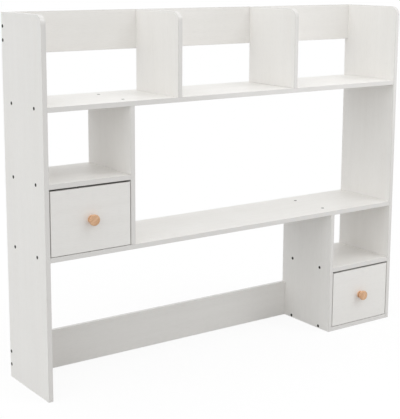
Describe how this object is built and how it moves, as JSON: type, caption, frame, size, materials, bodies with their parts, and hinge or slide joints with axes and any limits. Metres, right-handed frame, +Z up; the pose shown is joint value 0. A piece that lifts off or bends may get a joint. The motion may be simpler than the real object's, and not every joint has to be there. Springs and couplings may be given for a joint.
{
  "type": "desk hutch",
  "caption": "White board hutch for a desk top: open top bays, a full-width shelf, open niches over inset drawers with turned wooden knobs, and rear stiffening rails.",
  "frame": {"origin": "middle of the bounding box in plan, on the surface that the hutch stands on", "axes": "+X along the width to the right seen from the front, +Y to the rear, +Z up; the front looks along -Y"},
  "size_m": [1.4, 0.284, 1.14],
  "materials": {
    "white_board": "white melamine-faced board, fine embossed grain, satin",
    "white_hardboard": "white-faced hardboard",
    "beech": "turned beech, clear satin lacquer",
    "dowel_wood": "raw beech",
    "glide_plastic": "smooth white plastic",
    "black_plastic": "moulded black plastic",
    "black_steel": "blackened, matt",
    "zinc_steel": "bright zinc"
  },
  "bodies": {
    "carcass": {"left_side_panel": "white_board", "right_side_panel": "white_board", "top_shelf": "white_board", "main_shelf": "white_board", "top_back_rail": "white_board", "low_back_rail": "white_board", "left_top_divider": "white_board", "right_top_divider": "white_board", "left_niche_upright": "white_board", "right_leg_upright": "white_board", "left_niche_shelf": "white_board", "right_niche_shelf": "white_board", "right_bottom_panel": "white_board", "left_bay_back": "white_hardboard", "right_bay_back": "white_hardboard", "left_drawer_stop": "black_plastic", "right_drawer_stop": "black_plastic", "left_side_screws": "black_steel", "right_side_screws": "black_steel", "top_shelf_screws": "black_steel", "top_rail_screws": "black_steel", "main_shelf_screws": "black_steel", "left_upright_screws": "black_steel", "leg_screws": "black_steel", "left_back_pins": "zinc_steel", "right_back_pins": "zinc_steel", "left_drawer_stop_screws": "zinc_steel", "right_drawer_stop_screws": "zinc_steel"},
    "left_drawer": {"left_drawer_front": "white_board", "left_drawer_left_side": "white_board", "left_drawer_right_side": "white_board", "left_drawer_back": "white_board", "left_drawer_bottom": "white_hardboard", "left_drawer_dowels": "dowel_wood", "left_drawer_screws": "zinc_steel", "left_drawer_glides": "glide_plastic", "left_drawer_knob": "beech", "left_drawer_knob_screw": "zinc_steel"},
    "right_drawer": {"right_drawer_front": "white_board", "right_drawer_left_side": "white_board", "right_drawer_right_side": "white_board", "right_drawer_back": "white_board", "right_drawer_bottom": "white_hardboard", "right_drawer_dowels": "dowel_wood", "right_drawer_screws": "zinc_steel", "right_drawer_glides": "glide_plastic", "right_drawer_knob": "beech", "right_drawer_knob_screw": "zinc_steel"}
  },
  "joints": [
    {"name": "left_drawer_slide", "type": "slide", "parent": "carcass", "child": "left_drawer", "axis": [0, -1, 0], "range_m": [0, 0.195]},
    {"name": "right_drawer_slide", "type": "slide", "parent": "carcass", "child": "right_drawer", "axis": [0, -1, 0], "range_m": [0, 0.195]}
  ]
}
